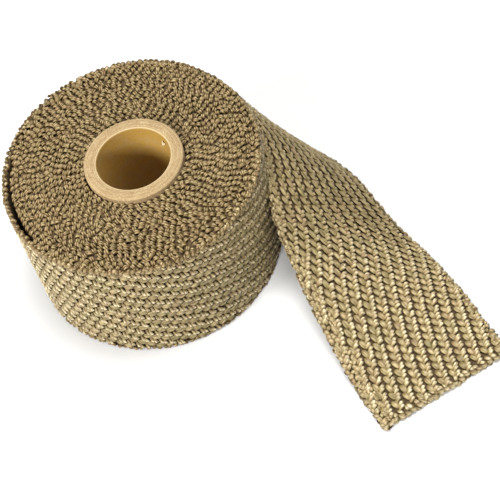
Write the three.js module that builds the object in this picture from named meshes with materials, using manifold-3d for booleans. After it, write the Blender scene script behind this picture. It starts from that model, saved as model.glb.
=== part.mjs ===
// Exhaust heat wrap: a woven tape wound on a cardboard core. The roll stands on end,
// and the tape's free end leaves it, turns over and comes to lie flat beside it.
// Millimetres and degrees, +Z up, the front towards -Y.

import * as THREE from 'three';
import { mergeVertices } from 'three/addons/utils/BufferGeometryUtils.js';
import Module from 'manifold-3d';

// Core tube
const CORE_BORE_RADIUS = 12.7;
const CORE_WALL = 4.5;
const CORE_PROUD = 1.3;
const CORE_CHAMFER = 0.5;
const CORE_CLEARANCE = 0.3;

// Tape
const TAPE_WIDTH = 50;
const TAPE_THICKNESS = 1.5;
const EDGE_ROUNDING = 0.45;

// Wound turns under the last one, and the grooves between their edges
const INNER_TURNS = 17;
const GROOVE_DEPTH = 0.8;
const GROOVE_FLANK = 0.4;

// Last turn, a circle a little off the core's centre, so it stands away on the left
const LOOSE_GAP = 1.3;
const LOOSE_DIRECTION = 163;
const LAP_LENGTH = 45;
const LAP_START_ANGLE = 6;
const LAP_START_SINK = 0.3;

// Free end: where it leaves the roll, how far it runs and turns, and where it leans over
const LEAVE_ANGLE = -10.7;
const LEAVE_TURN = 14;
const LEAVE_TURN_LENGTH = 30;
const TAIL_LENGTH = 92;
const TAIL_TURN = 14;
const LEAN_ON_ROLL = 84;
const LEAN_EASING = 35;
const FLAT_END = 3.5;

// Facets
const ROUND_SEGMENTS = 36;
const LAST_TURN_STEPS = 54;
const TAIL_STEPS = 30;
const PATH_SUBSTEPS = 8;
const LEAN_SAMPLES = 9;

const coreRadius = CORE_BORE_RADIUS + CORE_WALL;
const woundBoreRadius = coreRadius + CORE_CLEARANCE;
const woundRadius = woundBoreRadius + INNER_TURNS * TAPE_THICKNESS;
const lastTurnRadius = woundRadius + TAPE_THICKNESS;
const looseAngle = THREE.MathUtils.degToRad(LOOSE_DIRECTION);
const lastTurnCentre = new THREE.Vector2(Math.cos(looseAngle), Math.sin(looseAngle))
  .multiplyScalar(LOOSE_GAP);
const leaveAngle = THREE.MathUtils.degToRad(LEAVE_ANGLE);
const lastTurnAngle = 2 * Math.PI - THREE.MathUtils.degToRad(LAP_START_ANGLE);
const lastTurnLength = lastTurnAngle * lastTurnRadius;

const cardboard = new THREE.MeshStandardMaterial({
  color: 0xd9bf8f, roughness: 0.85, metalness: 0,
});
const wovenBasalt = new THREE.MeshStandardMaterial({
  color: 0xb9a571, roughness: 0.6, metalness: 0,
});

// A ring turned from a closed outline of [radius, height] points, listed anticlockwise.
function turned(outline) {
  const points = outline.map(([radius, height]) => new THREE.Vector2(radius, height));
  points.push(points[0].clone());
  const ring = new THREE.LatheGeometry(points, ROUND_SEGMENTS);
  ring.rotateX(Math.PI / 2);
  return ring;
}

function coreTube() {
  const height = TAPE_WIDTH + CORE_PROUD;
  const inner = CORE_BORE_RADIUS;
  const outer = coreRadius;
  const cut = CORE_CHAMFER;
  return turned([
    [inner + cut, 0], [outer - cut, 0], [outer, cut], [outer, height - cut],
    [outer - cut, height], [inner + cut, height], [inner, height - cut], [inner, cut],
  ]);
}

// The turns under the last one: on each end every turn is a flat-topped ridge
// with a groove on its outer side.
function woundTurns() {
  const bottom = [];
  const top = [];
  for (let turn = 0; turn < INNER_TURNS; turn += 1) {
    const radius = woundBoreRadius + turn * TAPE_THICKNESS;
    const ridge = [radius + GROOVE_FLANK, radius + TAPE_THICKNESS - GROOVE_FLANK];
    bottom.push([radius, GROOVE_DEPTH], [ridge[0], 0], [ridge[1], 0]);
    top.push([radius, TAPE_WIDTH - GROOVE_DEPTH], [ridge[0], TAPE_WIDTH], [ridge[1], TAPE_WIDTH]);
  }
  bottom.push([woundRadius, GROOVE_DEPTH]);
  top.push([woundRadius, TAPE_WIDTH - GROOVE_DEPTH]);
  return turned([...bottom, ...top.reverse()]);
}

// Where the tape's outer top edge runs round the roll, at arc length s before it leaves.
// It starts just under the face of the turn below and rises to lie over it.
function lastTurnPoint(s) {
  const angle = headingAt(s) + Math.PI / 2;
  const risen = THREE.MathUtils.smoothstep(s + lastTurnLength, 0, LAP_LENGTH);
  const radius = THREE.MathUtils.lerp(woundRadius - LAP_START_SINK, lastTurnRadius, risen);
  return {
    x: lastTurnCentre.x * risen + radius * Math.cos(angle),
    y: lastTurnCentre.y * risen + radius * Math.sin(angle),
  };
}

// The direction in which the tape runs: clockwise round the roll, and from where it leaves
// back the other way, first in a short bend and evenly over the whole free end.
function headingAt(s) {
  const leaving = leaveAngle - Math.PI / 2;
  if (s <= 0) return leaving - s / lastTurnRadius;
  const bend = LEAVE_TURN * THREE.MathUtils.smoothstep(s, 0, LEAVE_TURN_LENGTH);
  return leaving + THREE.MathUtils.degToRad(bend + TAIL_TURN * s / TAIL_LENGTH);
}

// The way the tape leans out from its path, which eases over the change of bend.
function leanDirectionAt(s) {
  let sum = 0;
  for (let sample = 0; sample < LEAN_SAMPLES; sample += 1) {
    sum += headingAt(s + LEAN_EASING * (2 * sample / (LEAN_SAMPLES - 1) - 1));
  }
  return sum / LEAN_SAMPLES + Math.PI / 2;
}

// Stations along the last turn and on along the free end.
function tapeStations() {
  const stations = [];
  for (let step = 0; step <= LAST_TURN_STEPS; step += 1) {
    const s = -lastTurnLength * (1 - step / LAST_TURN_STEPS);
    stations.push({ s, ...lastTurnPoint(s) });
  }
  const stride = TAIL_LENGTH / (TAIL_STEPS * PATH_SUBSTEPS);
  let { x, y } = stations[stations.length - 1];
  for (let step = 1; step <= TAIL_STEPS * PATH_SUBSTEPS; step += 1) {
    const s = step * stride;
    x += stride * Math.cos(headingAt(s));
    y += stride * Math.sin(headingAt(s));
    if (step % PATH_SUBSTEPS === 0) stations.push({ s, x, y });
  }
  return stations;
}

// The tape leans over evenly from upright on the roll to flat at its end.
function leanAt(s) {
  return (Math.PI / 2) * THREE.MathUtils.smoothstep(s, -LEAN_ON_ROLL, TAIL_LENGTH - FLAT_END);
}

// The tape's section: x through its thickness with 0 on the outer face, y across its width.
function tapeSection() {
  const cut = EDGE_ROUNDING;
  const inner = -TAPE_THICKNESS;
  return new THREE.Shape([
    [0, cut], [0, TAPE_WIDTH - cut], [-cut, TAPE_WIDTH], [inner + cut, TAPE_WIDTH],
    [inner, TAPE_WIDTH - cut], [inner, cut], [inner + cut, 0], [-cut, 0],
  ].map(([x, y]) => new THREE.Vector2(x, y)));
}

// The last turn and the free end as one tape: a straight extrusion of the section,
// one step for each pair of stations, carried over to the path and its lean.
function lastTurnAndTail() {
  const stations = tapeStations();
  const steps = stations.length - 1;
  const tape = new THREE.ExtrudeGeometry(tapeSection(), {
    depth: steps, steps, bevelEnabled: false,
  });
  const vertices = tape.getAttribute('position');
  for (let i = 0; i < vertices.count; i += 1) {
    const station = stations[Math.round(vertices.getZ(i))];
    const lean = leanAt(station.s);
    const direction = leanDirectionAt(station.s);
    const outward = new THREE.Vector3(Math.cos(direction), Math.sin(direction), 0);
    const up = new THREE.Vector3(0, 0, 1);
    const through = outward.clone().multiplyScalar(Math.cos(lean))
      .addScaledVector(up, Math.sin(lean));
    const across = up.clone().multiplyScalar(Math.cos(lean))
      .addScaledVector(outward, -Math.sin(lean));
    const topEdge = TAPE_WIDTH * Math.cos(lean) + TAPE_THICKNESS * Math.sin(lean);
    const point = new THREE.Vector3(station.x, station.y, topEdge)
      .addScaledVector(through, vertices.getX(i))
      .addScaledVector(across, vertices.getY(i) - TAPE_WIDTH);
    vertices.setXYZ(i, point.x, point.y, point.z);
  }
  return tape;
}

const solids = await Module();
solids.setup();

function toSolid(geometry) {
  const shape = geometry.clone();
  shape.deleteAttribute('normal');
  shape.deleteAttribute('uv');
  const merged = mergeVertices(shape, 1e-4);
  return new solids.Manifold(new solids.Mesh({
    numProp: 3,
    vertProperties: new Float32Array(merged.getAttribute('position').array),
    triVerts: new Uint32Array(merged.getIndex().array),
  }));
}

function fromSolid(solid) {
  const mesh = solid.getMesh();
  const geometry = new THREE.BufferGeometry();
  geometry.setAttribute('position', new THREE.BufferAttribute(mesh.vertProperties, 3));
  geometry.setIndex(new THREE.BufferAttribute(mesh.triVerts, 1));
  geometry.computeVertexNormals();
  return geometry;
}

function heatWrap() {
  return fromSolid(toSolid(woundTurns()).add(toSolid(lastTurnAndTail())));
}

function namedMesh(name, geometry, material) {
  const mesh = new THREE.Mesh(geometry, material);
  mesh.name = name;
  return mesh;
}

const group = new THREE.Group();
group.add(namedMesh('core_tube', coreTube(), cardboard));
group.add(namedMesh('heat_wrap', heatWrap(), wovenBasalt));

// The origin is under the middle of the whole thing, on the floor it stands on
const middle = new THREE.Box3().setFromObject(group, true).getCenter(new THREE.Vector3());
group.position.set(-middle.x, -middle.y, 0);
group.updateMatrixWorld(true);

export default group;
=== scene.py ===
"""Looks of the exhaust heat wrap: a coarse woven tape wound on a cardboard core.

Lengths are metres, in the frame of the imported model: +Z up, the front towards -Y.
"""

import logging
import math
from dataclasses import dataclass, field, replace
from enum import Enum
from math import pi, radians
from typing import Any

import bmesh
import bpy
import numpy as np
from bmesh.types import BMesh
from bpy.types import Material, Object
from mathutils import Matrix, Vector


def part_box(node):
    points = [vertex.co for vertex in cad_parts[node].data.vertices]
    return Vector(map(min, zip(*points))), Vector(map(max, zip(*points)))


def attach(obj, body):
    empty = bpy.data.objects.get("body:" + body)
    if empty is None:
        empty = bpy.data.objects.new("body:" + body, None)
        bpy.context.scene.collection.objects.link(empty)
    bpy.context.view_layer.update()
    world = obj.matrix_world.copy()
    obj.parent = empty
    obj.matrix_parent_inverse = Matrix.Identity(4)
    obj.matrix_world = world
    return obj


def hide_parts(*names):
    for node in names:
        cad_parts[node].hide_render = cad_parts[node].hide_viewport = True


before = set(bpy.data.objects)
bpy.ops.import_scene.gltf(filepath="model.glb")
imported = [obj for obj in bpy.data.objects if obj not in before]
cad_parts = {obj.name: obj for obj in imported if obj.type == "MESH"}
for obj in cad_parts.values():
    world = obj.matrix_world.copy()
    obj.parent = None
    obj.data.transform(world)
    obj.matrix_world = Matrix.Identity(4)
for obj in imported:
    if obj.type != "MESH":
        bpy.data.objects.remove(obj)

Array = np.ndarray
LOG = logging.getLogger("heat_wrap")
MM = 0.001
WELD = 1e-7
BODY = "root"
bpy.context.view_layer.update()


def smooth(x: Array) -> Array:
    """The smooth step from 0 to 1 of a value that runs from 0 to 1."""
    x = np.clip(x, 0.0, 1.0)
    return x * x * (3.0 - 2.0 * x)


def linked(name: str, data: Any) -> Object:
    """Makes an object of some data and links it to the scene.

    Args:
        name: The object's name.
        data: Its mesh, light or camera.

    Returns:
        The object, at the origin.
    """
    made = bpy.data.objects.new(name, data)
    bpy.context.scene.collection.objects.link(made)
    return made


def new_object(name: str, bm: BMesh, material: Material, shade_smooth: bool = True) -> Object:
    """Makes a scene object of a bmesh and frees the bmesh.

    Args:
        name: The piece's name.
        bm: The mesh, already in its place.
        material: Its finish.
        shade_smooth: Whether its faces are shaded smooth.

    Returns:
        The new object, at the origin.
    """
    mesh = bpy.data.meshes.new(name)
    bm.to_mesh(mesh)
    bm.free()
    for polygon in mesh.polygons:
        polygon.use_smooth = shade_smooth
    mesh.materials.append(material)
    return linked(name, mesh)


def spun_ring(outline: list[tuple[float, float]], steps: int) -> BMesh:
    """Spins a closed outline round the Z axis.

    Args:
        outline: Its points, each a radius and a height.
        steps: How many steps the full turn has.

    Returns:
        The ring, with its faces turned outwards.
    """
    bm = bmesh.new()
    verts = [bm.verts.new((r, 0.0, z)) for r, z in outline]
    edges = [bm.edges.new((a, b)) for a, b in zip(verts, verts[1:] + verts[:1])]
    bmesh.ops.spin(
        bm, geom=verts + edges, cent=(0, 0, 0), axis=(0, 0, 1), angle=2.0 * pi,
        steps=steps, use_merge=True)
    bmesh.ops.remove_doubles(bm, verts=bm.verts, dist=WELD)
    bmesh.ops.recalc_face_normals(bm, faces=bm.faces)
    return bm


# Shader expressions and finishes


@dataclass(frozen=True)
class Value:
    """A shader socket on which Python's operators add Math nodes."""

    graph: "Graph"
    socket: Any

    def _maths(self, operation: str, *inputs: Any) -> "Value":
        """Adds a Math node and returns its result."""
        return self.graph.node("Math", {"operation": operation}, dict(enumerate(inputs)))

    def __add__(self, other: Any) -> "Value":
        """Adds."""
        return self._maths("ADD", self, other)

    __radd__ = __add__

    def __mul__(self, other: Any) -> "Value":
        """Multiplies."""
        return self._maths("MULTIPLY", self, other)

    __rmul__ = __mul__

    def __sub__(self, other: Any) -> "Value":
        """Subtracts."""
        return self._maths("SUBTRACT", self, other)

    def __rsub__(self, other: Any) -> "Value":
        """Subtracts from a number."""
        return self._maths("SUBTRACT", other, self)

    def __pow__(self, other: Any) -> "Value":
        """Raises to a power."""
        return self._maths("POWER", self, other)

    def clamped(self) -> "Value":
        """Keeps the value from 0 to 1."""
        return self.graph.node("Clamp", {}, {"Value": self, "Min": 0.0, "Max": 1.0})


class Graph:
    """The node tree of one material, built from expressions."""

    def __init__(self, name: str) -> None:
        """Starts an empty material.

        Args:
            name: The material's name.
        """
        self.material = bpy.data.materials.new(name)
        self.material.use_nodes = True
        self.tree = self.material.node_tree
        self.tree.nodes.clear()

    def node(self, kind: str, settings: dict, inputs: dict, output: Any = 0) -> Value:
        """Adds any node: its settings first, then its sockets.

        Args:
            kind: The node's type, without the ShaderNode that it begins with.
            settings: Attributes of the node.
            inputs: Values or links by the socket's name or number.
            output: The name or number of the socket to return.

        Returns:
            The node's output as a value.
        """
        made = self.tree.nodes.new("ShaderNode" + kind)
        for key, setting in settings.items():
            setattr(made, key, setting)
        for key, given in inputs.items():
            socket = made.inputs[key]
            if isinstance(given, Value):
                self.tree.links.new(given.socket, socket)
            else:
                socket.default_value = given
        return Value(self, made.outputs[output] if made.outputs else None)

    def mix(self, factor: Any, first: Any, second: Any) -> Value:
        """Mixes two colours by how much of the second there is, from 0 to 1."""
        return self.node("Mix", {"data_type": "RGBA"}, {0: factor, 6: first, 7: second}, 2)

    def noise(self, vector: Value, scale: float, detail: float = 2.0) -> Value:
        """Noise from 0 to 1 at a scale in cells per unit."""
        return self.node("TexNoise", {}, {"Vector": vector, "Scale": scale, "Detail": detail})

    def finish(self, inputs: dict, bump: Value | None = None, depth: float = 0.0) -> None:
        """Closes the material with one glossy shader.

        Args:
            inputs: The shader's sockets.
            bump: The height of its fine relief, from 0 to 1.
            depth: How deep that relief is, in metres.
        """
        if bump is not None:
            inputs = dict(inputs)
            inputs["Normal"] = self.node(
                "Bump", {}, {"Height": bump, "Distance": depth, "Strength": 1.0})
        shader = self.node("BsdfPrincipled", {}, inputs)
        self.node("OutputMaterial", {}, {"Surface": shader})


@dataclass(frozen=True)
class YarnFinish:
    """Silky yarn of fine filaments, its tone changing from strand to strand, with painted shade where a
    strand dives low and a painted highlight on its raised middle.
    """

    name: str
    khaki: tuple = (0.215, 0.157, 0.058, 1.0)
    tan: tuple = (0.245, 0.157, 0.067, 1.0)
    olive: tuple = (0.165, 0.132, 0.040, 1.0)
    pale: tuple = (0.47, 0.36, 0.158, 1.0)
    # Painted highlight: the pale colour that the raised middle of each strand is mixed towards.
    gleam: tuple = (0.96, 0.85, 0.58, 1.0)
    # Painted shade: the dark that the low parts of the strands and the gaps between filaments are mixed
    # towards.
    hollow: tuple = (0.068, 0.038, 0.012, 1.0)
    roughness: float = 0.40
    streaks: float = 3.3
    # How strongly the low parts of each strand are darkened as painted shade.
    shade: float = 0.95
    relief: float = 0.12 * MM
    specular: float = 0.38
    filament_scale: tuple = (8.0, 1.2, 1.0)
    patch_scale: float = 55.0

    def material(self) -> Material:
        """Builds the material.

        Returns:
            The material.
        """
        g = Graph(self.name)
        uv = g.node("UVMap", {"uv_map": "yarn"}, {})
        tone, rise, gleam = (
            g.node("Attribute", {"attribute_name": name}, {}, "Fac")
            for name in ("tone", "rise", "gleam"))
        place = g.node("TexCoord", {}, {}, "Object")
        shift = g.node("CombineXYZ", {}, {"X": tone * 17.0, "Y": tone * 5.0, "Z": tone * 31.0})
        along = g.node(
            "VectorMath", {"operation": "MULTIPLY_ADD"},
            {0: uv, 1: self.filament_scale, 2: shift})
        filaments = g.noise(along, 1.0, 3.0)
        patches = g.noise(place, self.patch_scale, 2.0)
        colour = g.mix(((tone - 0.45) * 2.4).clamped(), self.khaki, self.tan)
        colour = g.mix(((0.42 - tone) * 2.6).clamped(), colour, self.olive)
        colour = g.mix(((patches - 0.5) * 1.2).clamped(), colour, self.tan)
        colour = g.mix(((filaments - 0.47) * self.streaks).clamped(), colour, self.pale)
        # Painted highlight by the gleam attribute, on the brighter filaments.
        colour = g.mix(((filaments - 0.30) * 3.0 * gleam).clamped(), colour, self.gleam)
        # Dark streaks between the filaments, partly grain and partly painted shade; then painted shade
        # towards the low ends of each strand, by its rise.
        colour = g.mix(((0.46 - filaments) * self.streaks).clamped(), colour, self.hollow)
        colour = g.mix(((1.0 - rise) ** 1.25 * self.shade).clamped(), colour, self.hollow)
        g.finish(
            {"Base Color": colour, "Roughness": self.roughness + 0.2 * (1.0 - filaments),
             "Specular IOR Level": self.specular},
            filaments, self.relief)
        return g.material


# The same yarn as basalt_yarn made darker, with full-strength shade: a painted-shade copy for the loops on
# the roll's ends and the last turn's edges.
SHADED_SELVEDGE_YARN = YarnFinish(
    "selvedge_yarn", khaki=(0.125, 0.077, 0.020, 1.0), tan=(0.145, 0.082, 0.026, 1.0),
    olive=(0.100, 0.073, 0.013, 1.0), pale=(0.36, 0.245, 0.085, 1.0),
    gleam=(0.88, 0.74, 0.44, 1.0), streaks=3.0, shade=1.0)


@dataclass(frozen=True)
class PaintedShadeFinish:
    """The inside of the weave seen between the strands, its colours painted dark as shade."""

    name: str
    # Painted shade: deep shade and half shade of the yarns in the gaps.
    dark: tuple = (0.072, 0.043, 0.015, 1.0)
    lit: tuple = (0.16, 0.105, 0.038, 1.0)

    def material(self) -> Material:
        """Builds the material.

        Returns:
            The material.
        """
        g = Graph(self.name)
        place = g.node("TexCoord", {}, {}, "Object")
        yarns = g.noise(place, 900.0, 2.0)
        patches = g.noise(place, 260.0, 2.0)
        # Yarn-sized specks between deep and half shade, then broad patches of deeper shade, all painted.
        colour = g.mix(((yarns - 0.45) * 2.0).clamped(), self.dark, self.lit)
        colour = g.mix(((patches - 0.5) * 1.5).clamped(), colour, self.dark)
        g.finish({"Base Color": colour, "Roughness": 0.85}, yarns, 0.25 * MM)
        return g.material


@dataclass(frozen=True)
class CardboardFinish:
    """Wound board: plies that show as rings on the end, a fibrous face, and a bore whose darker brown is
    partly mottled stain and partly painted shade.
    """

    name: str
    axis: tuple
    board: tuple = (0.35, 0.252, 0.122, 1.0)
    ply: tuple = (0.25, 0.152, 0.068, 1.0)
    pale: tuple = (0.46, 0.355, 0.190, 1.0)
    lip: tuple = (0.56, 0.45, 0.26, 1.0)
    # The bore's wall: darker than the board, partly its own stain and partly painted shade.
    bore: tuple = (0.38, 0.220, 0.034, 1.0)
    bore_radius: float = 12.7 * MM
    lip_width: float = 0.35 * MM
    ply_pitch: float = 0.62 * MM
    ply_wander: float = 0.35 * MM

    def material(self) -> Material:
        """Builds the material.

        Returns:
            The material.
        """
        g = Graph(self.name)
        place = g.node("TexCoord", {}, {}, "Object")
        centred = g.node(
            "VectorMath", {"operation": "SUBTRACT"}, {0: place, 1: (*self.axis, 0.0)})
        flat = g.node(
            "VectorMath", {"operation": "MULTIPLY"}, {0: centred, 1: (1.0, 1.0, 0.0)})
        radius = g.node("VectorMath", {"operation": "LENGTH"}, {0: flat}, "Value")
        wander = g.noise(centred, 160.0, 3.0)
        wavy = radius + self.ply_wander * wander
        fine, broad = (
            g.node("Math", {"operation": "SINE"}, {0: wavy * (2.0 * pi / pitch)})
            for pitch in (self.ply_pitch, 2.3 * self.ply_pitch))
        rings = 0.55 * fine + 0.45 * broad
        fibres = g.noise(centred, 1700.0, 3.0)
        blotches = g.noise(centred, 240.0, 2.0)
        colour = g.mix((rings * 0.75 + 0.35).clamped(), self.board, self.ply)
        colour = g.mix(((blotches - 0.45) * 1.4).clamped(), colour, self.pale)
        colour = g.mix(((0.50 - fibres) * 3.0).clamped(), colour, self.ply)
        colour = g.mix(((fibres - 0.52) * 3.5).clamped(), colour, self.pale)
        from_lip = g.node(
            "Math", {"operation": "ABSOLUTE"}, {0: radius - (self.bore_radius + self.lip_width)})
        colour = g.mix((0.8 - from_lip * (1.0 / self.lip_width)).clamped(), colour, self.lip)
        inside = ((self.bore_radius + 0.25 * MM - radius) * (1.0 / (0.2 * MM))).clamped()
        # Mottled bore wall: blotches of board and fibres over the darker bore colour, which is partly
        # stain and partly painted shade.
        bore_stain_and_shade = g.mix(((blotches - 0.45) * 3.0).clamped(), self.bore, self.board)
        bore_stain_and_shade = g.mix(((0.5 - fibres) * 4.0).clamped(), bore_stain_and_shade, self.ply)
        colour = g.mix(inside, colour, g.mix(0.45, bore_stain_and_shade, self.bore))
        g.finish(
            {"Base Color": colour, "Roughness": 0.82 + 0.12 * fibres}, fibres * 0.5 + rings * 0.25,
            0.15 * MM)
        return g.material


@dataclass(frozen=True)
class PlainFinish:
    """One even colour."""

    name: str
    tint: tuple
    roughness: float
    glow: float = 0.0

    def material(self) -> Material:
        """Builds the material.

        Returns:
            The material.
        """
        g = Graph(self.name)
        g.finish({
            "Base Color": self.tint, "Roughness": self.roughness, "Emission Color": self.tint,
            "Emission Strength": self.glow})
        return g.material


PALE_PAPER = PlainFinish("pale_paper", (0.72, 0.60, 0.36, 1.0), 0.8)
PALE_FLOOR = PlainFinish("pale_floor", (0.68, 0.68, 0.68, 1.0), 0.6, 0.1)


# The tape's run


@dataclass
class TapePath:
    """Where the last turn and the free end run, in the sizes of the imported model."""

    axis: tuple
    width: float = 50.0 * MM
    thickness: float = 1.5 * MM
    bore: float = 17.5 * MM
    inner_turns: int = 17
    loose_gap: float = 1.3 * MM
    loose_direction: float = radians(163.0)
    lap_length: float = 45.0 * MM
    lap_start_angle: float = radians(6.0)
    hidden_run: float = 95.0 * MM
    leave_angle: float = radians(-10.7)
    leave_turn: float = radians(14.0)
    leave_turn_length: float = 30.0 * MM
    tail_length: float = 92.0 * MM
    tail_turn: float = radians(14.0)
    lean_on_roll: float = 84.0 * MM
    lean_easing: float = 35.0 * MM
    flat_end: float = 3.5 * MM
    tail_loft: float = 0.5 * MM
    loft_length: float = 40.0 * MM
    rim_dip: float = 1.7 * MM
    rim_dip_arc: tuple = (248.0, 300.0, 352.0)
    rim_dip_width: float = 9.0 * MM
    slump_from: float = 0.45
    floor_gap: float = 0.03 * MM
    step: float = 0.5 * MM
    stations: dict = field(default_factory=dict)

    def __post_init__(self) -> None:
        """Works out the stations once."""
        s = np.arange(-self.last_turn_length - self.hidden_run, self.tail_length + 3 * MM, self.step)
        angle = self.heading(s) + pi / 2
        risen = smooth((s + self.last_turn_length) / self.lap_length)
        radius = self.wound_radius + self.thickness * risen
        x = self.loose_gap * math.cos(self.loose_direction) * risen + radius * np.cos(angle)
        y = self.loose_gap * math.sin(self.loose_direction) * risen + radius * np.sin(angle)
        last = int(np.argmax(s > 0.0)) - 1
        middle = 0.5 * (self.heading(s[last:-1]) + self.heading(s[last + 1:]))
        x[last + 1:] = x[last] + np.cumsum(np.cos(middle)) * self.step
        y[last + 1:] = y[last] + np.cumsum(np.sin(middle)) * self.step
        samples = np.linspace(-1.0, 1.0, 9)
        eased = np.mean([self.heading(s + k * self.lean_easing) for k in samples], axis=0) + pi / 2
        way = np.where(s < -self.lean_on_roll, angle, eased)
        end = self.tail_length - self.flat_end
        lean = 0.5 * pi * smooth((s + self.lean_on_roll) / (end + self.lean_on_roll))
        self.stations = {"s": s, "x": x + self.axis[0], "y": y + self.axis[1], "way": way, "lean": lean}

    @property
    def wound_radius(self) -> float:
        """The outside of the turns under the last one."""
        return self.bore + self.inner_turns * self.thickness

    @property
    def last_turn_radius(self) -> float:
        """The outside of the last turn."""
        return self.wound_radius + self.thickness

    @property
    def last_turn_length(self) -> float:
        """How much tape the last turn holds."""
        return (2.0 * pi - self.lap_start_angle) * self.last_turn_radius

    def heading(self, s: Array) -> Array:
        """The direction in which the tape runs.

        Args:
            s: Length along the tape, 0 where it leaves the roll.

        Returns:
            The angle from +X at each length.
        """
        leaving = self.leave_angle - pi / 2
        bend = self.leave_turn * smooth(s / self.leave_turn_length)
        tail = leaving + bend + self.tail_turn * s / self.tail_length
        return np.where(s <= 0.0, leaving - s / self.last_turn_radius, tail)

    def loft(self, s: Array) -> Array:
        """How much thicker the tape is where nothing presses it."""
        return self.tail_loft * smooth(s / self.loft_length)

    def dip(self, degrees: Array) -> Array:
        """How far the roll's upper rim has slumped.

        Args:
            degrees: The angle round the axis.

        Returns:
            The depth at each angle.
        """
        start, middle, end = self.rim_dip_arc
        rising = smooth((degrees % 360.0 - start) / (middle - start))
        falling = smooth((end - degrees % 360.0) / (end - middle))
        ripple = 0.8 + 0.2 * np.sin(np.radians(degrees) * 17.0)
        return self.rim_dip * rising * falling * ripple

    def near_rim(self, radius: float) -> float:
        """How much of the slump reaches a radius: all of it at the rim, less and less inwards."""
        return smooth(1.0 - (self.wound_radius - radius) / self.rim_dip_width)

    def at(self, s: Array, v: Array, h: Array) -> Array:
        """Carries tape coordinates over to the model.

        Args:
            s: Length along the tape, 0 where it leaves the roll.
            v: Height across the tape from its lower edge.
            h: Height above its outer face.

        Returns:
            The points, one row for each.
        """
        st = self.stations
        x, y, way, lean = (np.interp(s, st["s"], st[key]) for key in ("x", "y", "way", "lean"))
        cos, sin = np.cos(lean), np.sin(lean)
        out_x, out_y = np.cos(way), np.sin(way)
        h = h + self.loft(s)
        slumped = np.where(s < 0.0, self.dip(np.degrees(way)), 0.0)
        reach = smooth((v / self.width - self.slump_from) / (1.0 - self.slump_from))
        down = v - self.width - slumped * reach
        px = x + h * cos * out_x - down * sin * out_x
        py = y + h * cos * out_y - down * sin * out_y
        pz = self.width * cos + self.thickness * sin + h * sin + down * cos
        return np.stack([px, py, np.maximum(pz, self.floor_gap)], axis=-1)


# Strands


@dataclass(frozen=True)
class Strand:
    """One visible float of yarn: a closed, plump form that dives at both ends.

    It lies along +X from its near end to its far end, with +Z out of the cloth.
    """

    length: float
    width: float
    thickness: float
    near_dive: float
    far_dive: float
    rise: float = 0.0
    peak: float = 0.5
    bluntness: float = 3.0
    gleam: float = 0.3
    sides: int = 8
    rings: int = 6

    def mesh(self) -> tuple[Array, list[list[int]], Array, dict[str, Array]]:
        """Shapes a sphere into the float.

        Returns:
            Its points, its faces, the UV of each face corner, and for each point its rise
            and its gleam, from 0 to 1.
        """
        bm = bmesh.new()
        bmesh.ops.create_uvsphere(
            bm, u_segments=self.sides, v_segments=self.rings, radius=1.0, calc_uvs=True)
        bmesh.ops.rotate(bm, verts=bm.verts, matrix=Matrix.Rotation(pi / 2, 3, "Y"))
        bm.verts.ensure_lookup_table()
        ball = np.array([vert.co[:] for vert in bm.verts])
        faces = [[vert.index for vert in face.verts] for face in bm.faces]
        t = np.arccos(np.clip(-ball[:, 0], -1.0, 1.0)) / pi
        girth = np.hypot(ball[:, 1], ball[:, 2])
        turn = np.arctan2(ball[:, 2], ball[:, 1])
        swell = np.where(girth > 1e-6, (1.0 - np.abs(2.0 * t - 1.0) ** self.bluntness) ** 0.5, 0.0)
        near = 1.0 - (np.clip(self.peak - t, 0.0, 1.0) / self.peak) ** 2.2
        far = 1.0 - (np.clip(t - self.peak, 0.0, 1.0) / (1.0 - self.peak)) ** 1.8
        lift = np.where(
            t < self.peak, self.rise * near - self.near_dive * (1.0 - near),
            self.rise * far - self.far_dive * (1.0 - far))
        points = np.stack([
            (t - 0.5) * self.length,
            0.5 * self.width * swell * np.cos(turn),
            lift + 0.5 * self.thickness * swell * np.sin(turn),
        ], axis=-1)
        around = turn / (2.0 * pi) + 0.5
        corners = []
        for face in bm.faces:
            first = around[face.verts[0].index]
            for vert in face.verts:
                u = around[vert.index]
                u += 1.0 if u - first < -0.5 else (-1.0 if u - first > 0.5 else 0.0)
                corners.append((u, t[vert.index]))
        bm.free()
        # The rise, from 0 low to 1 high, sets how much painted shade the yarn finish puts on each point.
        top = self.rise + 0.5 * self.thickness
        low = top - self.thickness - 0.6 * self.near_dive
        level = np.clip((points[:, 2] - low) / (top - low), 0.0, 1.0)
        # Painted highlight: strongest round the peak and on the top of the strand.
        gleam = self.gleam * np.clip(1.0 - np.abs(t - self.peak) / 0.4, 0.0, 1.0) * level ** 2
        return points, faces, np.array(corners), {"rise": level, "gleam": gleam}


@dataclass
class Places:
    """Where the copies of a strand lie, as arrays of one value for each copy."""

    s: Array
    v: Array
    h: Array
    angle: Array
    size: Array
    tone: Array
    gleam: Array | None = None

    def chosen(self, keep: Array) -> "Places":
        """The places for which keep is true."""
        return Places(**{
            key: None if values is None else values[keep] for key, values in vars(self).items()})


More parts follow.
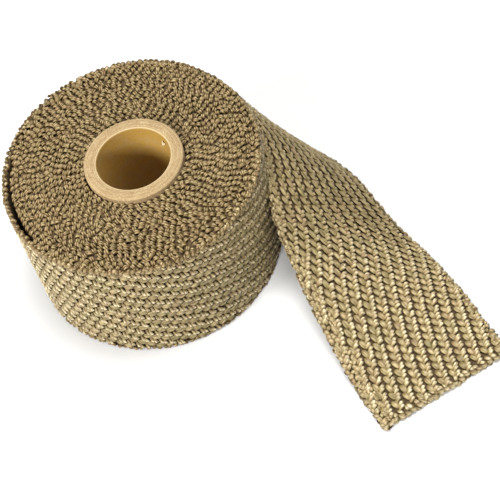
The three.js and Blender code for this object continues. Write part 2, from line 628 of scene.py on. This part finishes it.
class YarnPiece:
    """A piece that joins many strands in one mesh."""

    def __init__(self, name: str) -> None:
        """Starts an empty piece.

        Args:
            name: The piece's name.
        """
        self.name = name
        self.points: list[Array] = []
        self.faces: list[Array] = []
        self.corners: list[Array] = []
        self.values: dict[str, list[Array]] = {"rise": [], "gleam": [], "tone": []}
        self.count = 0

    def add(self, strand: Strand, places: Places, carry: Any, inward: bool = False) -> None:
        """Adds a copy of a strand at each place.

        Args:
            strand: The strand.
            places: Where its copies lie.
            carry: Takes the arrays s, v and h to points of the model.
            inward: Whether it bulges towards lower h, as on the tape's inner face.
        """
        if not len(places.s):
            return
        points, faces, corners, values = strand.mesh()
        cos, sin = np.cos(places.angle)[:, None], np.sin(places.angle)[:, None]
        x, y, z = (points[None, :, axis] * places.size[:, None] for axis in range(3))
        s = places.s[:, None] + x * cos - y * sin
        v = places.v[:, None] + x * sin + y * cos
        h = places.h[:, None] + (-z if inward else z)
        carried = carry(s.ravel(), v.ravel(), h.ravel())
        first = carried[:len(points)]
        first = first - first.mean(axis=0)
        volume = sum(
            np.dot(first[face[0]], np.cross(first[face[i]], first[face[i + 1]]))
            for face in faces for i in range(1, len(face) - 1))
        order = [face[::-1] for face in faces] if volume < 0.0 else faces
        ends = np.cumsum([len(face) for face in faces])[:-1]
        turned = [part[::-1] if volume < 0.0 else part for part in np.split(corners, ends)]
        copies = len(places.s)
        for copy in range(copies):
            base = self.count + copy * len(points)
            self.faces.extend([index + base for index in face] for face in order)
        self.points.append(carried)
        self.corners.append(np.tile(np.concatenate(turned), (copies, 1)))
        shine = np.ones(copies) if places.gleam is None else places.gleam
        self.values["rise"].append(np.tile(values["rise"], copies))
        self.values["gleam"].append(np.outer(shine, values["gleam"]).ravel())
        self.values["tone"].append(np.repeat(places.tone, len(points)))
        self.count += copies * len(points)

    def build(self, material: Material) -> Object:
        """Makes the piece's object.

        Args:
            material: Its finish.

        Returns:
            The object, at the origin.
        """
        mesh = bpy.data.meshes.new(self.name)
        mesh.from_pydata(np.concatenate(self.points).tolist(), [], self.faces)
        layer = mesh.uv_layers.new(name="yarn")
        layer.data.foreach_set("uv", np.concatenate(self.corners).ravel())
        for name, values in self.values.items():
            attribute = mesh.attributes.new(name, "FLOAT", "POINT")
            attribute.data.foreach_set("value", np.concatenate(values))
        mesh.polygons.foreach_set("use_smooth", [True] * len(mesh.polygons))
        mesh.materials.append(material)
        mesh.update()
        return linked(self.name, mesh)


class Face(Enum):
    """The two faces of the tape."""

    OUTER = "outer"
    INNER = "inner"


@dataclass(frozen=True)
class Stitch:
    """The strands of one cell: a raised crosswise pair and a flat lengthwise float.

    The pair lies as far up the cell as lean says, and the float as leaf says.
    """

    crosswise: Strand
    lengthwise: Strand
    lean: float
    leaf: float


ROLL_STITCH = Stitch(
    Strand(
        length=3.3 * MM, width=1.3 * MM, thickness=0.95 * MM, rise=0.1 * MM, near_dive=1.1 * MM,
        far_dive=0.9 * MM, peak=0.3, bluntness=3.4),
    Strand(
        length=4.4 * MM, width=2.9 * MM, thickness=0.9 * MM, rise=-0.2 * MM, near_dive=0.6 * MM,
        far_dive=0.6 * MM, bluntness=2.6, gleam=0.12, rings=5),
    lean=1.6 * MM, leaf=3.5 * MM)
TAIL_STITCH = Stitch(
    Strand(
        length=3.7 * MM, width=1.5 * MM, thickness=1.0 * MM, rise=0.08 * MM, near_dive=1.2 * MM,
        far_dive=0.7 * MM, peak=0.3, bluntness=3.6),
    Strand(
        length=4.5 * MM, width=2.4 * MM, thickness=0.9 * MM, rise=-0.2 * MM, near_dive=0.5 * MM,
        far_dive=0.5 * MM, bluntness=2.4, gleam=0.14),
    lean=2.0 * MM, leaf=3.2 * MM)


@dataclass
class Weave:
    """The lattice of the twill, and the stitches laid on it."""

    path: TapePath
    seed: int = 7
    pitch: float = 3.0 * MM
    roll_rows: float = 5.3 * MM
    rows_at: tuple = (-70.0, -30.0, -12.0, 14.0, 40.0)
    rows: tuple = (5.3, 4.9, 4.1, 4.0, 4.4)
    slopes_at: tuple = (-70.0, -30.0, -12.0, 14.0, 30.0, 55.0, 75.0)
    slopes: tuple = (0.42, 0.30, 0.02, 0.02, 0.36, 0.30, 0.25)
    stagger: float = 0.4 * MM
    hem: float = 0.7 * MM
    form_change: float = -24.0 * MM
    # Where the painted highlight on the pairs fades, near the place where the tape leaves the roll. The
    # same factor also sinks the pairs and turns the floats there.
    painted_shine_at: tuple = (-34.0, -14.0, 12.0, 34.0)
    painted_shine: tuple = (1.0, 0.25, 0.25, 1.0)
    pair_angle: float = radians(63.0)
    pair_spread: float = radians(4.0)
    pair_gap: float = 1.16 * MM
    pair_sink: float = 0.3 * MM
    float_angle: float = radians(-17.0)
    float_turn: float = radians(22.0)
    float_shift: float = -0.7 * MM
    float_lift: float = 0.2 * MM
    # Tone steps of the lengthwise floats on the roll and on the tail: they darken the floats, and the
    # deeper step on the roll is painted shade.
    float_tone_and_shade: tuple = (-0.2, -0.08)
    unevenness: float = 0.06 * MM
    margins: tuple = (1.3 * MM, 0.8 * MM)

    def row_height(self, s: Array) -> Array:
        """The distance between rows, measured across the tape."""
        return np.interp(s / MM, self.rows_at, self.rows) * MM

    def slope(self, s: Array) -> Array:
        """How steeply the rows climb towards the free end."""
        return np.interp(s / MM, self.slopes_at, self.slopes)

    def cells(self, start: float, end: float) -> tuple[Array, Array, Array]:
        """Finds the stitches between two lengths along the tape.

        Args:
            start: The first length.
            end: The last length.

        Returns:
            The arrays s and v of the stitches and the height of their rows.
        """
        fine = self.path.stations["s"]
        phase = np.cumsum(self.slope(fine) / self.row_height(fine)) * self.path.step
        steps = np.arange(math.floor(start / self.pitch) - 1, math.ceil(end / self.pitch) + 2)
        rows = np.arange(-80, 80)
        i, j = (grid.ravel() for grid in np.meshgrid(steps, rows))
        s = i * self.pitch + j * self.stagger
        s = s - np.round((s - i * self.pitch) / self.pitch) * self.pitch
        height = self.row_height(s)
        v = (j + np.interp(s, fine, phase)) * height
        keep = (s > start) & (s < end) & (v > -height) & (v < self.path.width)
        return s[keep], v[keep], height[keep]

    def inside(self, places: Places, margin: float) -> Places:
        """The places whose middle lies at least a margin inside the edges."""
        return places.chosen((places.v > margin) & (places.v < self.path.width - margin))

    def carry(self, s: Array, v: Array, h: Array) -> Array:
        """Carries points over to the tape, with none past the loops of its edges."""
        return self.path.at(s, np.clip(v, self.hem, self.path.width - self.hem), h)

    def floats(self, name: str, start: float, end: float, face: Face,
               gleam: float = 1.0) -> YarnPiece:
        """Lays the strands of every cell on a stretch of one face of the tape.

        Args:
            name: The piece's name.
            start: Where they begin along the tape.
            end: Where they end.
            face: The face that they lie on.
            gleam: How strong the painted highlight on the raised pairs is.

        Returns:
            The piece with those strands.
        """
        piece = YarnPiece(name)
        s, v, height = self.cells(start, end)
        rng = np.random.default_rng(self.seed + len(s))
        flip = face is Face.INNER
        level = -self.path.thickness - 2.0 * self.path.loft(s) if flip else np.zeros(len(s))
        mirror = -1.0 if flip else 1.0
        tone = 0.5 + 0.13 * rng.standard_normal(len(s))
        reach = height / self.roll_rows
        # Painted highlight strength along the tape, which also sets how far the pairs sink and the floats
        # turn.
        shine = np.interp(s / MM, self.painted_shine_at, self.painted_shine)
        on_roll = s < self.form_change
        size = 0.5 + 0.5 * reach
        for stitch, chosen in ((ROLL_STITCH, on_roll), (TAIL_STITCH, ~on_roll)):
            crosswise = replace(stitch.crosswise, gleam=gleam)
            lean = stitch.lean * reach
            for side in (-0.5, 0.5):
                jitter = rng.standard_normal((4, len(s)))
                angle = self.pair_angle + self.pair_spread * jitter[0]
                shift = side * self.pair_gap
                raised = Places(
                    s + shift + lean * np.cos(angle) + 0.08 * MM * jitter[1],
                    v + shift * 0.3 + lean * np.sin(angle) + 0.08 * MM * jitter[2],
                    level + mirror * (self.unevenness * jitter[3] - self.pair_sink * (1.0 - shine)),
                    angle, size, tone + 0.06 * jitter[0], shine)
                piece.add(
                    crosswise, self.inside(raised.chosen(chosen), self.margins[0]), self.carry, flip)
            jitter = rng.standard_normal((4, len(s)))
            flat = Places(
                s + self.float_shift + 0.1 * MM * jitter[1],
                v + stitch.leaf * reach + 0.1 * MM * jitter[2],
                level + mirror * (self.unevenness * jitter[3] + self.float_lift * (1.0 - shine)),
                self.float_angle - self.float_turn * (1.0 - shine) + 0.07 * jitter[0], size,
                tone + np.where(on_roll, *self.float_tone_and_shade) + 0.06 * jitter[1])
            piece.add(
                stitch.lengthwise, self.inside(flat.chosen(chosen), self.margins[1]), self.carry, flip)
        return piece


@dataclass
class Selvedge:
    """The loops where the crosswise yarn turns back at the tape's edges."""

    path: TapePath
    seed: int = 21
    pitch: float = 2.25 * MM
    sink: float = 0.5 * MM
    drift: float = 0.35
    pair_gap: float = 0.33 * MM
    ring_slant: float = radians(48.0)
    edge_pitch: float = 0.86
    edge_slant: float = radians(40.0)
    edge_sink: float = 0.62 * MM
    band_pitch: float = 2.0 * MM
    band_rows: tuple = (0.7 * MM, 1.9 * MM, 3.1 * MM, 4.2 * MM)
    band_slants: tuple = (radians(-32.0), radians(58.0))
    cut_pitch: float = 2.1 * MM
    bead: Strand = Strand(
        length=2.75 * MM, width=1.32 * MM, thickness=1.2 * MM, near_dive=1.3 * MM,
        far_dive=1.3 * MM, gleam=0.5)
    thin_bead: Strand = Strand(
        length=2.9 * MM, width=0.78 * MM, thickness=0.9 * MM, near_dive=1.4 * MM,
        far_dive=1.2 * MM, peak=0.45, gleam=0.42, sides=6, rings=5)
    band_knot: Strand = Strand(
        length=2.7 * MM, width=1.25 * MM, thickness=0.95 * MM, rise=0.1 * MM, near_dive=0.9 * MM,
        far_dive=0.9 * MM, rings=5)
    cut_tuft: Strand = Strand(
        length=3.4 * MM, width=1.5 * MM, thickness=1.15 * MM, near_dive=0.5 * MM,
        far_dive=0.9 * MM, peak=0.6, bluntness=3.4, gleam=0.7, rings=5)
    cut_knot: Strand = Strand(
        length=3.1 * MM, width=1.35 * MM, thickness=1.5 * MM, near_dive=0.9 * MM,
        far_dive=0.9 * MM, gleam=0.7, rings=5)

    def add_ring(self, piece: YarnPiece, radius: float, top: bool, rng: np.random.Generator,
                 arc: tuple[float, float] = (0.0, 360.0)) -> None:
        """Lays the loops of one wound turn on an end of the roll.

        Args:
            piece: The piece that takes them.
            radius: The turn's middle radius.
            top: Whether it is the upper end.
            rng: The source of the small differences.
            arc: Where the loops begin and end round the axis, in degrees.
        """
        count = max(8, round(2.0 * pi * radius / self.pitch))
        jitter = rng.standard_normal((6, count))
        begin = 1.0 + self.drift * rng.standard_normal() / radius * self.pitch
        angle = (np.arange(count) + 0.13 * jitter[0]) * 2.0 * pi / count + begin
        wave = 0.25 * MM * np.sin(angle * 5.0 + 0.15 * radius / MM) + 0.09 * MM * jitter[1]
        slant = np.where(rng.random(count) < 0.85, 1.0, -1.0) * self.ring_slant
        slant = slant + radians(14.0) * jitter[2]
        slant = np.where(rng.random(count) < 0.13, 0.0, slant)
        depth = -self.sink + 0.12 * MM * jitter[3] + 0.15 * MM * np.sin(angle * 3.0 + 0.2 * radius / MM)
        if top:
            depth -= self.path.dip(np.degrees(angle)) * self.path.near_rim(radius)
        axis_x, axis_y = self.path.axis
        sign = 1.0 if top else -1.0

        def carry(s: Array, v: Array, h: Array) -> Array:
            """Bends the flat ring round the axis.

            Args:
                s: Length round the ring.
                v: Distance outwards from its radius.
                h: Height above the roll's end.

            Returns:
                The points, one row for each.
            """
            turn = s / radius
            r = radius + v
            z = (self.path.width if top else 0.0) + sign * h
            z = np.clip(z, self.path.floor_gap, self.path.width + 1.2 * MM)
            return np.stack([axis_x + r * np.cos(turn), axis_y + r * np.sin(turn), z], axis=-1)

        around = np.degrees(angle) % 360.0
        keep = (around >= arc[0]) & (around <= arc[1])
        for side in (-1.0, 1.0):
            shift = side * self.pair_gap
            turned = slant + 0.13 * rng.standard_normal(count)
            piece.add(self.thin_bead, Places(
                angle * radius - shift * np.sin(turned), wave + shift * np.cos(turned),
                depth + 0.1 * MM * rng.standard_normal(count), turned, 1.0 + 0.08 * jitter[4],
                0.5 + 0.16 * jitter[5] + 0.06 * side, 0.6 + 0.4 * rng.random(count)).chosen(keep), carry)

    def add_tape_edge(self, piece: YarnPiece, start: float, end: float, top: bool) -> None:
        """Lays the loops along one edge of the last turn and the free end.

        Args:
            piece: The piece that takes them.
            start: Where they begin along the tape.
            end: Where they end.
            top: Whether it is the tape's upper edge.
        """
        rng = np.random.default_rng(self.seed + (1 if top else 2))
        count = int((end - start) / (self.edge_pitch * self.pitch))
        jitter = rng.standard_normal((6, count))
        s = start + (np.arange(count) + 0.5 + 0.2 * jitter[0]) * (end - start) / count
        slant = np.where(rng.random(count) < 0.6, 1.0, -1.0) * self.edge_slant
        slant = slant + radians(16.0) * jitter[1]
        middle = -0.5 * self.path.thickness + 0.16 * MM * jitter[2] - self.path.loft(s) * 0.5
        edge = self.path.width if top else 0.0
        sign = 1.0 if top else -1.0
        depth = -self.edge_sink + 0.24 * MM * jitter[3]

        def carry(along: Array, through: Array, out: Array) -> Array:
            """Turns the loop's frame so that it stands on the tape's edge."""
            return self.path.at(along, edge + sign * out, through)

        piece.add(self.bead, Places(
            s, middle, depth, slant, 1.0 + 0.1 * jitter[4], 0.5 + 0.2 * jitter[5]), carry)

    def add_band(self, piece: YarnPiece, start: float, end: float, face: Face, top: bool,
                 rows: int = 3) -> None:
        """Lays the small tangled stitches that run beside an edge on a face.

        Args:
            piece: The piece that takes them.
            start: Where they begin along the tape.
            end: Where they end.
            face: The face that they lie on.
            top: Whether it is the tape's upper edge.
            rows: How many rows of stitches the strip has.
        """
        flip = face is Face.INNER
        rng = np.random.default_rng(self.seed + 50 + (1 if top else 2) + (4 if flip else 0))
        mirror = -1.0 if flip else 1.0
        for row, offset in enumerate(self.band_rows[:rows]):
            count = int((end - start) / self.band_pitch)
            jitter = rng.standard_normal((6, count))
            s = start + (np.arange(count) + 0.5 * (row % 2) + 0.18 * jitter[0]) * (end - start) / count
            v = offset + 0.2 * MM * jitter[1]
            v = self.path.width - v if top else v
            level = -self.path.thickness - 2.0 * self.path.loft(s) if flip else np.zeros(count)
            slant = self.band_slants[row % 2] + radians(20.0) * jitter[2]
            piece.add(self.band_knot, Places(
                s, v, level + mirror * (0.05 * MM * jitter[3] - 0.1 * MM), slant, 1.0 + 0.08 * jitter[4],
                0.5 + 0.2 * jitter[5]), self.path.at, flip)

    def add_cut_end(self, piece: YarnPiece, end: float) -> None:
        """Lays the short turned-in yarn ends along the cut, one row on each face.

        Args:
            piece: The piece that takes them.
            end: The tape's length at the cut.
        """
        rng = np.random.default_rng(self.seed + 90)
        thick = self.path.thickness + 2.0 * self.path.tail_loft
        count = int(self.path.width / self.cut_pitch)
        for level, flip in ((-0.45 * MM, False), (0.45 * MM - thick, True)):
            jitter = rng.standard_normal((6, count))
            v = (np.arange(count) + 0.5 + 0.15 * jitter[0]) * self.path.width / count
            s = np.full(count, end - 2.7 * MM) + 0.2 * MM * jitter[1]
            height = np.full(count, level) + 0.1 * MM * jitter[2]
            slant = radians(-28.0) + radians(16.0) * jitter[3]
            piece.add(self.cut_tuft, Places(
                s, v, height, slant, 1.0 + 0.08 * jitter[4], 0.5 + 0.2 * jitter[5]), self.path.at, flip)

        def carry(along: Array, through: Array, out: Array) -> Array:
            """Turns the loop's frame so that it stands on the cut."""
            return self.path.at(end + out, along, through)

        for level in (-0.62 * MM, 0.62 * MM - thick):
            jitter = rng.standard_normal((6, count))
            v = (np.arange(count) + 0.5 + 0.15 * jitter[0]) * self.path.width / count
            middle = np.full(count, level + 0.5 * self.path.tail_loft) + 0.12 * MM * jitter[1]
            slant = radians(14.0) + radians(15.0) * jitter[2]
            piece.add(self.cut_knot, Places(
                v, middle, -0.9 * MM + 0.2 * MM * jitter[3], slant, 1.0 + 0.08 * jitter[4],
                0.5 + 0.2 * jitter[5]), carry)


@dataclass
class HeatWrap:
    """The wound tape and its free end."""

    path: TapePath
    yarn: Material
    # The painted-shade copy of the yarn, for the loops on the roll's ends and the last turn's edges.
    loops: Material
    # The painted-shade material of the dark body and sheet under the strands.
    hollow: Material
    recess: float = 1.0 * MM
    groove: float = 0.8 * MM
    ground_inset: float = 0.9 * MM
    ground_depth: float = 0.85 * MM
    ground_thickness: float = 0.3 * MM
    ground_cells: tuple = (320, 20)
    covered_gaps: tuple = ((60.0, 158.0), (208.0, 246.0))
    covered_out: float = 0.35 * MM
    hidden_margin: float = 5.0 * MM
    lap_margin: float = 2.0 * MM
    cut_margin: float = 2.6 * MM
    inner_from: float = 0.75
    # Strength of the painted highlight on the turn below the last one.
    under_gleam: float = 0.35
    band_start: float = 28.0 * MM
    segments: int = 120

    def wound_body(self) -> Object:
        """The turns under the last one as a body painted dark as shade, with a groove between each two.

        Returns:
            The body.
        """
        low, high = self.recess, self.path.width - self.recess
        bottom, top = [], []
        for turn in range(self.path.inner_turns):
            radius = self.path.bore + turn * self.path.thickness
            middle = radius + 0.5 * self.path.thickness
            bottom += [(radius, low + self.groove), (middle, low)]
            top += [(radius, high - self.groove), (middle, high)]
        outer = self.path.wound_radius - 0.1 * MM
        bottom.append((outer, low + self.groove))
        top.append((outer, high - self.groove))
        bm = spun_ring(bottom + top[::-1], self.segments)
        for vert in bm.verts:
            if vert.co.z > 0.5 * self.path.width:
                dip = self.path.dip(math.degrees(math.atan2(vert.co.y, vert.co.x)))
                vert.co.z -= dip * self.path.near_rim(math.hypot(vert.co.x, vert.co.y))
        bmesh.ops.translate(bm, verts=bm.verts, vec=(*self.path.axis, 0.0))
        return new_object("wound_turns_ground", bm, self.hollow)

    def tape_ground(self) -> Object:
        """The last turn and the free end as a sheet under the strands, painted dark as shade.

        Returns:
            The sheet.
        """
        start, end = -self.path.last_turn_length, self.path.tail_length
        inset = self.ground_inset
        bm = bmesh.new()
        bmesh.ops.create_grid(
            bm, x_segments=self.ground_cells[0], y_segments=self.ground_cells[1], size=1.0)
        points = np.array([vert.co[:] for vert in bm.verts])
        s = start + (points[:, 0] + 1.0) * 0.5 * (end - start - inset)
        v = inset + (points[:, 1] + 1.0) * 0.5 * (self.path.width - 2.0 * inset)
        placed = self.path.at(s, v, np.full(len(s), -self.ground_depth))
        for vert, point in zip(bm.verts, placed):
            vert.co = point
        bmesh.ops.recalc_face_normals(bm, faces=bm.faces)
        bm.faces.ensure_lookup_table()
        bmesh.ops.solidify(bm, geom=bm.faces[:], thickness=self.ground_thickness)
        bmesh.ops.recalc_face_normals(bm, faces=bm.faces)
        return new_object("last_turn_ground", bm, self.hollow)

    def build(self) -> list[Object]:
        """Builds every piece of the tape.

        Returns:
            The pieces.
        """
        selvedge = Selvedge(self.path)
        start, end = -self.path.last_turn_length, self.path.tail_length
        under = start - self.path.hidden_run + self.hidden_margin
        lap, cut = start + self.lap_margin, end - self.cut_margin
        inner = -self.path.lean_on_roll * self.inner_from
        weave = Weave(self.path)
        stretches = (
            ("last_turn_weave", lap, 0.0, Face.OUTER),
            ("turn_below_weave", under, lap, Face.OUTER, self.under_gleam),
            ("free_end_weave", 0.0, cut, Face.OUTER),
            ("free_end_inner_weave", inner, cut, Face.INNER))
        pieces = [self.wound_body(), self.tape_ground()]
        pieces += [weave.floats(*stretch).build(self.yarn) for stretch in stretches]

        for top in (True, False):
            rng = np.random.default_rng(selvedge.seed + (10 if top else 11))
            loops = YarnPiece("upper_selvedge_loops" if top else "lower_selvedge_loops")
            for turn in range(self.path.inner_turns):
                radius = self.path.bore + (turn + 0.5) * self.path.thickness
                selvedge.add_ring(loops, radius, top, rng)
            for arc in self.covered_gaps:
                selvedge.add_ring(loops, self.path.wound_radius + self.covered_out, top, rng, arc)
            pieces.append(loops.build(self.loops))

        rims = YarnPiece("last_turn_edge_loops")
        edges = YarnPiece("free_end_edge_loops")
        for top in (True, False):
            selvedge.add_tape_edge(rims, start, 0.0, top)
            selvedge.add_band(rims, start, 0.0, Face.OUTER, top, 2 if top else 1)
            selvedge.add_tape_edge(edges, 0.0, end, top)
            selvedge.add_band(edges, 0.0, self.band_start, Face.OUTER, top, 1)
            selvedge.add_band(edges, self.band_start, end, Face.OUTER, top, 4 if top else 2)
            selvedge.add_band(edges, inner, end, Face.INNER, top)
        pieces.append(rims.build(self.loops))
        selvedge.add_cut_end(edges, end)
        pieces.append(edges.build(self.yarn))
        return pieces


@dataclass
class CoreTube:
    """The cardboard core."""

    centre: tuple
    outer: float
    height: float
    material: Material
    bore: float = 12.7 * MM
    rounding: float = 0.55 * MM
    fleck_angle: float = radians(28.0)
    fleck_drop: float = 3.7 * MM
    fleck_tilt: float = 0.35
    segments: int = 128

    def build(self) -> Object:
        """Spins the wall's outline and rounds its rims.

        Returns:
            The tube.
        """
        bm = spun_ring(
            [(self.bore, 0.0), (self.outer, 0.0), (self.outer, self.height), (self.bore, self.height)],
            self.segments)
        rims = [edge for edge in bm.edges if len(edge.link_faces) == 2
                and edge.calc_face_angle(0.0) > radians(60.0)]
        bmesh.ops.bevel(
            bm, geom=rims, offset=self.rounding, segments=3, profile=0.5, affect="EDGES", material=-1)
        bmesh.ops.translate(bm, verts=bm.verts, vec=(*self.centre, 0.0))
        return new_object("cardboard_core", bm, self.material)

    def fleck(self, material: Material) -> Object:
        """A torn flake of pale paper that stands off the bore's wall near its rim.

        Args:
            material: The pale paper.

        Returns:
            The flake.
        """
        bm = bmesh.new()
        bmesh.ops.create_icosphere(bm, subdivisions=3, radius=1.0)
        outwards = Vector((math.cos(self.fleck_angle), math.sin(self.fleck_angle), 0.0))
        for vert in bm.verts:
            x, y, z = vert.co
            curl = 0.7 * z * z + 0.3 * math.sin(5.0 * y + 3.0 * z)
            vert.co = Vector((
                (0.22 * x - 0.45 * curl) * MM, (0.8 + 0.25 * math.sin(4.0 * z)) * y * MM, 1.35 * z * MM))
        turn = Matrix.Rotation(self.fleck_angle, 4, "Z") @ Matrix.Rotation(self.fleck_tilt, 4, "X")
        bmesh.ops.transform(bm, matrix=turn, verts=bm.verts)
        place = (self.bore - 0.3 * MM) * outwards
        bmesh.ops.translate(
            bm, verts=bm.verts, vec=place + Vector((*self.centre, self.height - self.fleck_drop)))
        return new_object("paper_fleck", bm, material)


@dataclass
class Studio:
    """The floor, the lights and the camera at the photograph's angle."""

    axis: tuple
    focal_pixels: float = 1500.0
    image_pixels: float = 500.0
    pitch: float = 0.96604
    roll: float = -0.27984
    eye: tuple = (29.23 * MM, -319.65 * MM, 442.72 * MM)
    room_light: float = 0.14
    softboxes: tuple = (
        ("left_softbox", (-0.75, -0.25, 0.5), 0.3, 6.0),
        ("front_softbox", (-0.42, -0.76, 0.46), 0.25, 7.0),
        ("top_softbox", (0.14, 0.10, 0.94), 0.5, 11.8),
    )

    def camera(self) -> None:
        """Places the camera."""
        data = bpy.data.cameras.new("camera")
        data.sensor_width = 36.0
        data.lens = data.sensor_width * self.focal_pixels / self.image_pixels
        data.clip_start, data.clip_end = 0.01, 10.0
        cam = linked("camera", data)
        forward = Vector((0.0, math.cos(self.pitch), -math.sin(self.pitch)))
        level = Vector((1.0, 0.0, 0.0))
        upward = level.cross(forward)
        right = level * math.cos(self.roll) + upward * math.sin(self.roll)
        up = upward * math.cos(self.roll) - level * math.sin(self.roll)
        turn = Matrix((right, up, -forward)).transposed().to_4x4()
        eye = Vector(self.eye) + Vector((*self.axis, 0.0))
        cam.matrix_world = Matrix.Translation(eye) @ turn
        bpy.context.scene.camera = cam

    def light(self, name: str, place: tuple, size: float, power: float) -> None:
        """Adds a soft square light that faces the object.

        Args:
            name: The light's name.
            place: Where it hangs.
            size: Its side.
            power: Its strength in watts.
        """
        data = bpy.data.lights.new(name, "AREA")
        data.shape, data.size, data.energy = "SQUARE", size, power
        lamp = linked(name, data)
        lamp.location = place
        aim = Vector((*self.axis, 0.02)) - Vector(place)
        lamp.rotation_euler = aim.to_track_quat("-Z", "Y").to_euler()

    def build(self) -> None:
        """Builds the floor, the lights and the camera."""
        bm = bmesh.new()
        bmesh.ops.create_grid(bm, x_segments=1, y_segments=1, size=3.0)
        floor = new_object("floor", bm, PALE_FLOOR.material(), False)
        for name, place, size, power in self.softboxes:
            self.light(name, place, size, power)
        world = bpy.data.worlds.new("soft_room")
        world.use_nodes = True
        background = world.node_tree.nodes["Background"]
        background.inputs["Color"].default_value = (1.0, 1.0, 1.0, 1.0)
        background.inputs["Strength"].default_value = self.room_light
        bpy.context.scene.world = world
        bpy.context.scene.view_settings.view_transform = "Standard"
        self.camera()


def main() -> None:
    """Builds the studio and the object, piece by piece."""
    logging.basicConfig(level=logging.INFO, format="%(name)s: %(message)s")
    low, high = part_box("core_tube")
    axis = (0.5 * (low[0] + high[0]), 0.5 * (low[1] + high[1]))
    Studio(axis).build()

    core = CoreTube(axis, 0.5 * (high[0] - low[0]), high[2], CardboardFinish("cardboard", axis).material())
    for part in (core.build(), core.fleck(PALE_PAPER.material())):
        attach(part, BODY)
        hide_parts("core_tube")
        LOG.info("%s: %d faces", part.name, len(part.data.polygons))

    wrap = HeatWrap(
        TapePath(axis), YarnFinish("basalt_yarn").material(), SHADED_SELVEDGE_YARN.material(),
        PaintedShadeFinish("weave_hollow").material())
    for piece in wrap.build():
        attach(piece, BODY)
        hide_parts("heat_wrap")
        LOG.info("%s: %d faces", piece.name, len(piece.data.polygons))


if __name__ == "__main__":
    main()
